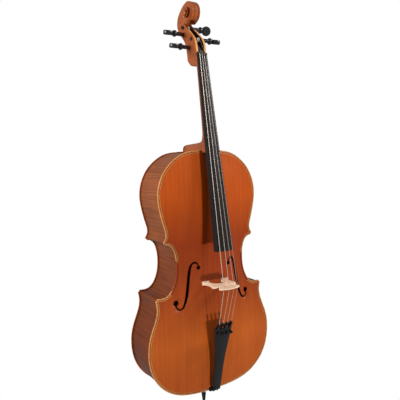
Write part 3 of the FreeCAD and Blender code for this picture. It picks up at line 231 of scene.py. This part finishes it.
def hollows(tree, where):
    """Two hollows that run over the scroll's rim, on either side of a middle ridge."""
    ridge_spacing = 12.8 * MM
    wave = maths(tree, "COSINE", maths(tree, "MULTIPLY", axis_of(tree, where, 0), math.pi / ridge_spacing))
    level = maths(tree, "MULTIPLY", wave, wave)
    geometry = node_at(tree, "ShaderNodeNewGeometry")
    aside = maths(tree, "ABSOLUTE", axis_of(tree, geometry.outputs["Normal"], 0))
    facing = spread(tree, aside, 0.35, 0.75, 1.0, 0.0)
    high = spread(tree, axis_of(tree, where, 2), 1.150, 1.185)
    return maths(tree, "MULTIPLY", maths(tree, "MULTIPLY", level, facing), high)


def plain_wood(name, colour, stretch, contrast=0.5, rough=0.6):
    """Unvarnished wood with its grain along one axis."""
    made, tree = material(name)
    grain = noise(tree, place(tree, stretch), 1.0, 4.0, 0.6, 0.3)
    broad = noise(tree, place(tree), 22.0, 2.0)
    low = tuple(value * 0.62 for value in colour)
    body = mixed(tree, "MIX", contrast, colour, ramp(tree, grain, [(0.35, low), (0.6, colour)]))
    body = multiplied(tree, 0.5, body, broad, [(0.3, (0.8, 0.77, 0.72)), (0.7, (1.08, 1.06, 1.04))])
    shade(tree, body, spread(tree, broad, 0.3, 0.7, rough - 0.06, rough + 0.06), [(grain, 0.18, 0.0003)])
    return made


def ebony(name="ebony", light=srgb(45, 37, 36), dark=srgb(32, 26, 26), rough=0.46,
          stretch=(420, 420, 9), gloss=0.0):
    """Oiled ebony: nearly black, with brown streaks and open pores along the grain."""
    made, tree = material(name)
    streak = noise(tree, place(tree, stretch), 1.0, 3.0, 0.55, 0.3)
    pores = noise(tree, place(tree, tuple(3.2 * value for value in stretch)), 1.0, 2.0, 0.7)
    colour = ramp(tree, streak, [(0.36, dark), (0.66, light)])
    rub = noise(tree, place(tree), 40.0, 3.0)
    shade(tree, colour, spread(tree, rub, 0.3, 0.7, rough - 0.07, rough + 0.09),
          [(pores, 0.1, 0.0002)], specular=0.22 + gloss / 2.0, coat=gloss, coat_rough=0.1)
    return made


def bridge_maple():
    """Pale, hard maple with short dark flecks of ray."""
    made, tree = material("bridge_maple")
    fleck = noise(tree, place(tree, (190, 420, 900)), 1.0, 2.0, 0.5, 0.3)
    broad = noise(tree, place(tree), 35.0, 2.0)
    colour = ramp(tree, fleck, [(0.34, srgb(238, 176, 136)), (0.45, srgb(255, 222, 190)),
                                (0.7, srgb(255, 230, 202))])
    colour = multiplied(tree, 0.5, colour, broad, [(0.3, (0.86, 0.8, 0.74)), (0.7, (1.05, 1.03, 1.0))])
    shade(tree, colour, spread(tree, broad, 0.3, 0.7, 0.42, 0.55), [(fleck, 0.15, 0.0002)])
    return made


def metal(name, colour, rough, scratch, metallic=1.0, coat=0.0):
    """Drawn or plated metal, with fine scratches along one axis."""
    made, tree = material(name)
    lines = noise(tree, place(tree, scratch), 1.0, 3.0, 0.6)
    cloud = noise(tree, place(tree), 120.0, 3.0)
    tone = multiplied(tree, 0.5, colour, cloud, [(0.3, (0.78, 0.78, 0.78)), (0.7, (1.05, 1.05, 1.05))])
    shade(tree, tone, spread(tree, lines, 0.3, 0.7, rough * 0.8, rough * 1.3),
          [(lines, 0.02, 0.00004)], metal=metallic, coat=coat)
    return made


def smooth_black(name, colour, rough, grain=900.0, strength=0.1):
    """Moulded plastic or rubber with a fine skin."""
    made, tree = material(name)
    skin = noise(tree, place(tree), grain, 3.0, 0.6)
    cloud = noise(tree, place(tree), 30.0, 2.0)
    tone = multiplied(tree, 0.6, colour, cloud, [(0.3, (0.75, 0.75, 0.76)), (0.7, (1.2, 1.2, 1.2))])
    shade(tree, tone, spread(tree, cloud, 0.3, 0.7, rough - 0.05, rough + 0.07),
          [(skin, strength, 0.0001)])
    return made


MATERIALS = {
    "spruce_front": spruce_front(),
    "maple_back": flamed("maple_back", srgb(122, 48, 20), srgb(190, 94, 42), (7, 7, 120), (420, 420, 12),
                         mirror=True),
    # the ribs' tone is painted shade: darker and redder towards the body's lower end, lighter at the upper
    # bout
    "maple_ribs": flamed("maple_ribs", srgb(96, 38, 14), srgb(182, 104, 56), (260, 5, 260), (30, 900, 30),
                         strength=0.58,
                         tone=[(0.0, (0.52, 0.36, 0.2)), (0.34, (0.58, 0.42, 0.26)),
                               (0.55, (0.74, 0.62, 0.5)), (0.68, (1.0, 1.0, 1.0)), (1.0, (1.0, 1.0, 1.0))]),
    "maple_neck": flamed("maple_neck", srgb(140, 58, 18), srgb(192, 102, 44), NECK_FLAME, NECK_GRAIN,
                         strength=0.6, flutes=True),
    "purfling": smooth_black("purfling", srgb(30, 20, 16), 0.45),
    "inner_spruce": plain_wood("inner_spruce", srgb(206, 168, 118), (420, 60, 6)),
    "ebony": ebony(),
    "peg_ebony": ebony("peg_ebony", srgb(38, 34, 34), srgb(20, 18, 20), 0.3, (60, 420, 420), 0.6),
    "bridge_maple": bridge_maple(),
    "string_steel": metal("string_steel", srgb(232, 222, 208), 0.45, (200, 200, 4000), 0.55),
    "black_composite": smooth_black("black_composite", srgb(30, 30, 31), 0.4, 1200.0, 0.12),
    "tail_cord": metal("tail_cord", srgb(120, 120, 122), 0.35, (3000, 3000, 3000)),
    "black_metal": metal("black_metal", srgb(36, 36, 38), 0.35, (600, 600, 600), 0.6, 0.2),
    "plain_steel": metal("plain_steel", srgb(186, 186, 188), 0.3, (500, 500, 10)),
    "ball_brass": metal("ball_brass", srgb(196, 160, 84), 0.3, (900, 900, 900)),
    "rubber_tip": smooth_black("rubber_tip", srgb(28, 28, 28), 0.65, 700.0, 0.3),
}


def slot_of(node):
    """The record's material slot that a CAD node has."""
    starts = (
        ("top_plate", "spruce_front"), ("back_plate", "maple_back"), ("rib_", "maple_ribs"),
        ("purfling", "purfling"), ("neck", "maple_neck"), ("fingerboard", "ebony"), ("nut", "ebony"),
        ("saddle", "ebony"), ("peg_", "peg_ebony"), ("endpin_socket", "ebony"), ("endpin_tip", "rubber_tip"),
        ("endpin_rod", "plain_steel"), ("endpin_", "black_metal"), ("bridge", "bridge_maple"),
        ("string_ball", "ball_brass"), ("string_", "string_steel"), ("winding_", "string_steel"),
        ("tailpiece", "black_composite"), ("tailgut", "tail_cord"), ("tuner_pivot", "plain_steel"),
        ("tuner_", "black_metal"))
    return next((slot for start, slot in starts if node.startswith(start)), "inner_spruce")


for name, node in NODES.items():
    node.data.materials.clear()
    node.data.materials.append(MATERIALS[slot_of(name)])


# ------------------------------------------------------------------ rounded copies of the frame's shapes

SHARP_FROM = 38                     # degrees between two faces, from which an edge is rounded
MERGE_CLOSE, MERGE_LOOSE = 4e-6, 2e-4


def rounded(node, width, segments=2, edge=None, keep=None, inside=(), loose=False, drop=None):
    """A copy of a CAD node with its sharp edges rounded.

    edge is the material on the bevel, worn-through varnish that also carries a painted highlight; keep picks
    the edges that are rounded, inside gives (material, test) pairs for whole faces, and drop picks faces to
    leave out.
    A loose bevel isn't held back by short edges.
    """
    source = NODES[node]
    mesh = bmesh.new()
    mesh.from_mesh(source.data)
    mesh.transform(source.matrix_world)
    bmesh.ops.remove_doubles(mesh, verts=mesh.verts, dist=MERGE_LOOSE if loose else MERGE_CLOSE)
    bmesh.ops.dissolve_degenerate(mesh, edges=mesh.edges, dist=2e-6)
    if drop:
        gone = [face for face in mesh.faces if drop(face.calc_center_median())]
        bmesh.ops.delete(mesh, geom=gone, context="FACES")
    sharp = [item for item in mesh.edges
             if len(item.link_faces) == 2 and item.calc_face_angle(0.0) > math.radians(SHARP_FROM)
             and (keep is None or keep(item))]
    made = bmesh.ops.bevel(mesh, geom=sharp, offset=width, segments=segments, affect="EDGES",
                           profile=0.5, clamp_overlap=not loose, offset_type="OFFSET")
    if edge:
        for face in made["faces"]:
            face.material_index = 1
    for face in mesh.faces:
        face.smooth = True
    data = bpy.data.meshes.new(node + "_round")
    mesh.to_mesh(data)
    mesh.free()
    data.materials.append(MATERIALS[slot_of(node)])
    if edge:
        data.materials.append(edge)
    data.set_sharp_from_angle(angle=math.radians(42))
    for finish, wanted in inside:
        data.materials.append(finish)
        for polygon in data.polygons:
            if wanted(polygon.center, polygon.normal):
                polygon.material_index = len(data.materials) - 1
    piece = added(node + "_round", data)
    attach(piece, BODY_OF[node])
    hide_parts(node)


def on_outline(item):
    """Edges of a plate that are not the rim of an f-hole."""
    middle = (item.verts[0].co + item.verts[1].co) / 2.0
    beside_centre = 0.040 < abs(middle.x) < 0.139
    at_hole_height = 0.335 < middle.z < 0.487
    return not (beside_centre and at_hole_height)


def in_pegbox(at, facing):
    """Walls and floor of the slot in the pegbox."""
    floor_slope, floor_start, floor_depth = 0.66, 1.111, 0.0045
    between_walls = abs(at.x) < 0.0118
    along_slot = 1.104 < at.z < 1.203
    return between_walls and along_slot and at.y < floor_slope * (at.z - floor_start) + floor_depth


def on_wall_front(at, facing):
    """Front edges of the pegbox's walls."""
    turned_forward = facing.y < -0.55 and abs(facing.x) < 0.5
    on_wall = abs(at.x) > 0.0085 and 1.106 < at.z < 1.196 and at.y < 0.012
    return turned_forward and on_wall


EYE_Y, EYE_Z = 13.0 * MM, 1.233     # centre of the scroll's eye
FOOT_Y, FOOT_Z = 2.0 * MM, 1.0 * MM     # centre of the turns' foot, behind and below the eye
FOOT_RADIUS = 28.5 * MM


def head_half(height):
    """Half the head's width at a height near the scroll."""
    below, middle, above = (1.208, 14.0), (1.234, 13.0), (1.276, 12.0)
    low, high = (below, middle) if height < middle[0] else (middle, above)
    part = (height - low[0]) / (high[0] - low[0])
    return (low[1] + (high[1] - low[1]) * part) * MM


def in_turns(at):
    """The stepped turns of the scroll, which the carved ones stand in for."""
    reach = math.hypot(at.y - EYE_Y - FOOT_Y, at.z - EYE_Z + FOOT_Z)
    return abs(at.x) > head_half(at.z) + 0.2 * MM and reach < FOOT_RADIUS


def bodies_of_nodes():
    """The moving body, or root, that each node belongs to."""
    found = {name: "root" for name in NODES}
    for string in "cgda":
        found["peg_" + string] = "peg_" + string
        found["winding_" + string] = "peg_" + string
        found["tuner_screw_" + string] = "screw_" + string
        found["tuner_knob_" + string] = "knob_" + string
        found["tuner_lever_" + string] = "lever_" + string
        found["string_ball_" + string] = "lever_" + string
    found.update({"endpin_rod": "endpin", "endpin_tip": "endpin", "endpin_screw": "endpin_lock",
                  "endpin_thumb": "endpin_lock_head"})
    return found


BODY_OF = bodies_of_nodes()
# lighter colour on the rounded edges: partly worn varnish, partly a painted highlight along the edge's crest
WORN_EDGE_AND_HIGHLIGHT = flamed("worn_edge_and_highlight", srgb(226, 142, 72), srgb(250, 190, 118), (60, 60, 60), (300, 300, 300),
                   strength=0.5)
rounded("top_plate", 1.4 * MM, 3, edge=WORN_EDGE_AND_HIGHLIGHT, keep=on_outline, loose=True)
rounded("back_plate", 1.2 * MM, 2, edge=WORN_EDGE_AND_HIGHLIGHT)
# painted shade on the walls and floor inside the pegbox's slot
SLOT_SHADE = flamed("painted_slot_shade", srgb(44, 18, 10), srgb(74, 32, 16), NECK_FLAME, NECK_GRAIN, strength=0.5)
# the pegbox walls' front faces also get the lighter edge colour, partly a painted highlight
rounded("neck", 1.1 * MM, 3, edge=WORN_EDGE_AND_HIGHLIGHT,
        inside=((SLOT_SHADE, in_pegbox), (WORN_EDGE_AND_HIGHLIGHT, on_wall_front)), drop=in_turns)
for node, width in (("fingerboard", 0.8), ("nut", 0.8), ("bridge", 0.45), ("tailpiece", 0.9),
                    ("tailpiece_fret", 0.4), ("saddle", 0.6), ("endpin_socket", 0.6),
                    ("endpin_collar", 0.5), ("endpin_thumb", 0.6)):
    rounded(node, width * MM)
for string in "cgda":
    rounded("peg_" + string, 1.3 * MM, 3)
    rounded("tuner_lever_" + string, 0.35 * MM)
    rounded("tuner_knob_" + string, 0.3 * MM)


# ------------------------------------------------------------------ the scroll's turns

SPIRAL_START = 35.6 * MM            # radius where the outer turn leaves the pegbox
SPIRAL_SHRINK = 0.83                # what is left of the radius after each quarter turn
SPIRAL_DEGREES = 810.0
SPIRAL_STEPS, SECTIONS = 132, 20    # along the spiral, and across one turn
EDGE_START, EDGE_RISE = 14.2, 13.8  # mm from the middle plane, at the start, and what the rim gains
HOLLOW_DEPTH = 3.4                  # mm
RIM_DROP = 1.8                      # mm, the rounding of the rim's outer corner
RIM_SHARE, HOLLOW_SHARE = 0.12, 0.8     # where the rim's rounding and the hollow end, across a turn
SHADED_FROM = 0.68                 # the part of each turn from which the groove gets painted shade
EYE_RADIUS, EYE_TOP = 9.4 * MM, 28.4 * MM
EYE_RINGS, EYE_POINTS, FOOT_POINTS = 8, 28, 48


def spiral_radius(angle):
    return SPIRAL_START * SPIRAL_SHRINK ** (angle / 90.0)


def across_turn(along, angle):
    """Radius and distance from the middle plane, at a share of the way across the turn at that angle."""
    outer = spiral_radius(angle)
    inner = max(spiral_radius(angle + 360.0), 4.0 * MM)
    edge = (EDGE_START + EDGE_RISE * (angle / SPIRAL_DEGREES)) * MM
    next_edge = (EDGE_START + EDGE_RISE * min(1.0, (angle + 360.0) / SPIRAL_DEGREES)) * MM
    if along < RIM_SHARE:
        part = along / RIM_SHARE
        return outer + 0.5 * MM * (1.0 - part) ** 2, edge - RIM_DROP * MM * (1.0 - part) ** 1.5
    if along < HOLLOW_SHARE:
        part = (along - RIM_SHARE) / 0.68
        radius = outer + (inner + 0.7 * MM - outer) * (0.06 + 0.94 * part)
        return radius, edge - (HOLLOW_DEPTH * math.sin(math.pi * part * 0.5) ** 1.4) * MM
    part = (along - HOLLOW_SHARE) / 0.2
    rise = (next_edge - RIM_DROP * MM - edge + HOLLOW_DEPTH * MM) * part
    return inner + 0.7 * MM * (1.0 - part), edge - HOLLOW_DEPTH * MM + rise


def spiral(side, verts, faces):
    """Adds the spiral ridge, and gives back which of its faces lie in the groove."""
    groove = set()
    for step in range(SPIRAL_STEPS + 1):
        angle = SPIRAL_DEGREES * step / SPIRAL_STEPS
        turn = math.radians(angle)
        for number in range(SECTIONS + 1):
            radius, out = across_turn(number / SECTIONS, angle)
            out = max(out, head_half(EYE_Z + radius * math.cos(turn)) + 0.3 * MM)
            verts.append((side * out, EYE_Y - radius * math.sin(turn), EYE_Z + radius * math.cos(turn)))
        if step:
            for number in range(SECTIONS):
                a = (step - 1) * (SECTIONS + 1) + number
                b = a + SECTIONS + 1
                if number >= SECTIONS * SHADED_FROM:
                    groove.add(len(faces))
                faces.append((a, a + 1, b + 1, b) if side < 0 else (a, b, b + 1, a + 1))
    return groove


def eye(side, verts, faces):
    """Adds the round button in the middle of the turns, with a shallow ring in it."""
    centre = len(verts)
    for ring in range(EYE_RINGS + 1):
        share = ring / EYE_RINGS
        reach = EYE_RADIUS * (1.0 - share)
        height = EYE_TOP - 4.0 * MM * (1.0 - share) ** 4 - 0.9 * MM * math.exp(-((share - 0.45) / 0.12) ** 2)
        for number in range(EYE_POINTS):
            turn = 2.0 * math.pi * number / EYE_POINTS
            verts.append((side * height, EYE_Y - reach * math.sin(turn), EYE_Z + reach * math.cos(turn)))
        if ring:
            for number in range(EYE_POINTS):
                a = centre + (ring - 1) * EYE_POINTS + number
                b = centre + (ring - 1) * EYE_POINTS + (number + 1) % EYE_POINTS
                faces.append((a, a + EYE_POINTS, b + EYE_POINTS, b) if side < 0
                             else (a, b, b + EYE_POINTS, a + EYE_POINTS))


def foot(side, verts, faces):
    """Adds the disc on the head's side that closes the place where the CAD's turns were."""
    middle = len(verts)
    clear = 0.1 * MM
    verts.append((side * (head_half(EYE_Z) + clear), EYE_Y + FOOT_Y, EYE_Z - FOOT_Z))
    for number in range(FOOT_POINTS):
        turn = 2.0 * math.pi * number / FOOT_POINTS
        height = EYE_Z - FOOT_Z + FOOT_RADIUS * math.cos(turn)
        verts.append((side * (head_half(height) + clear),
                      EYE_Y + FOOT_Y - FOOT_RADIUS * math.sin(turn), height))
        faces.append((middle, middle + 1 + number, middle + 1 + (number + 1) % FOOT_POINTS))


def volute(side):
    """The carved turns on one side of the scroll, rising to the eye, with a hollow along each turn."""
    verts = []
    faces = []
    groove = spiral(side, verts, faces)
    eye(side, verts, faces)
    foot(side, verts, faces)
    data = bpy.data.meshes.new("volute_left" if side < 0 else "volute_right")
    data.from_pydata(verts, [], faces)
    mesh = bmesh.new()
    mesh.from_mesh(data)
    bmesh.ops.remove_doubles(mesh, verts=mesh.verts, dist=2e-5)
    bmesh.ops.recalc_face_normals(mesh, faces=mesh.faces)
    for face in mesh.faces:
        face.smooth = True
        # faces deep in the groove get the painted shade
        if face.index in groove:
            face.material_index = 1
    mesh.to_mesh(data)
    mesh.free()
    data.materials.append(MATERIALS["maple_neck"])
    data.materials.append(GROOVE_SHADE)
    data.set_sharp_from_angle(angle=math.radians(50))
    piece = added(data.name, data)
    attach(piece, "root")


# painted shade in the grooves of the scroll's turns
GROOVE_SHADE = flamed("painted_groove_shade", srgb(84, 28, 8), srgb(128, 54, 20), NECK_FLAME, NECK_GRAIN,
                      strength=0.5)
volute(-1)
volute(1)


# ------------------------------------------------------------------ light and camera

def direction(azimuth, elevation):
    """From the object towards that side and height, in degrees."""
    turn, lift = math.radians(azimuth), math.radians(elevation)
    return Vector((math.sin(turn) * math.cos(lift), -math.cos(turn) * math.cos(lift), math.sin(lift)))


def soft_light(name, place_at, aim, size, power):
    """A round lamp that stands at a place and looks at aim."""
    lamp = bpy.data.lights.new(name, "AREA")
    lamp.shape = "DISK"
    lamp.size = size
    lamp.energy = power
    holder = added(name, lamp)
    holder.location = place_at
    holder.rotation_euler = (Vector(aim) - Vector(place_at)).to_track_quat("-Z", "Y").to_euler()


def set_camera(azimuth, elevation, roll, distance, aim, lens, shift):
    """Looks at aim from that side and height, rolled by that much, in degrees and metres."""
    tilt = math.radians(roll)
    back = direction(azimuth, elevation)
    right = (-back).cross(Vector((0, 0, 1))).normalized()
    above = right.cross(-back)
    right, above = (right * math.cos(tilt) + above * math.sin(tilt),
                    above * math.cos(tilt) - right * math.sin(tilt))
    data = bpy.data.cameras.new("camera")
    camera = added("camera", data)
    turned = Matrix((right, above, back)).transposed().to_4x4()
    camera.matrix_world = Matrix.Translation(Vector(aim) + back * distance) @ turned
    data.lens = lens
    data.sensor_width = 36.0
    data.shift_x, data.shift_y = shift
    data.clip_end = 100.0
    bpy.context.scene.camera = camera


def surroundings(shown, felt):
    """White to the camera, and softer for light and reflections."""
    world = bpy.data.worlds.new("studio")
    bpy.context.scene.world = world
    world.use_nodes = True
    tree = world.node_tree
    path = node_at(tree, "ShaderNodeLightPath")
    level = node_at(tree, "ShaderNodeMapRange")
    tree.links.new(path.outputs["Is Camera Ray"], level.inputs["Value"])
    feed(tree, level, "To Min", felt)
    feed(tree, level, "To Max", shown)
    tree.nodes["Background"].inputs["Color"].default_value = (1, 1, 1, 1)
    tree.links.new(level.outputs["Result"], tree.nodes["Background"].inputs["Strength"])


def sun(azimuth, elevation, strength, spread_angle):
    """A far lamp that stands at that side and height."""
    lamp = bpy.data.lights.new("sun", "SUN")
    lamp.energy = strength
    lamp.angle = math.radians(spread_angle)
    holder = added("sun", lamp)
    holder.rotation_euler = direction(azimuth, elevation).to_track_quat("Z", "Y").to_euler()
    holder.visible_glossy = False


surroundings(shown=1.0, felt=0.24)
sun(azimuth=10, elevation=-17, strength=1.92, spread_angle=6.0)
soft_light("left_soft", place_at=(-2.2, 0.2, 1.5), aim=(0, 0, 0.7), size=1.2, power=44.0)
soft_light("right_soft", place_at=(1.5, -1.2, 1.9), aim=(0, 0, 1.1), size=0.5, power=22.0)
set_camera(azimuth=-31.12, elevation=4.30, roll=-1.61, distance=1.4146, aim=(0, 0, 0.663),
           lens=40.365, shift=(0.0044, -0.0039))
bpy.context.scene.view_settings.view_transform = "Standard"
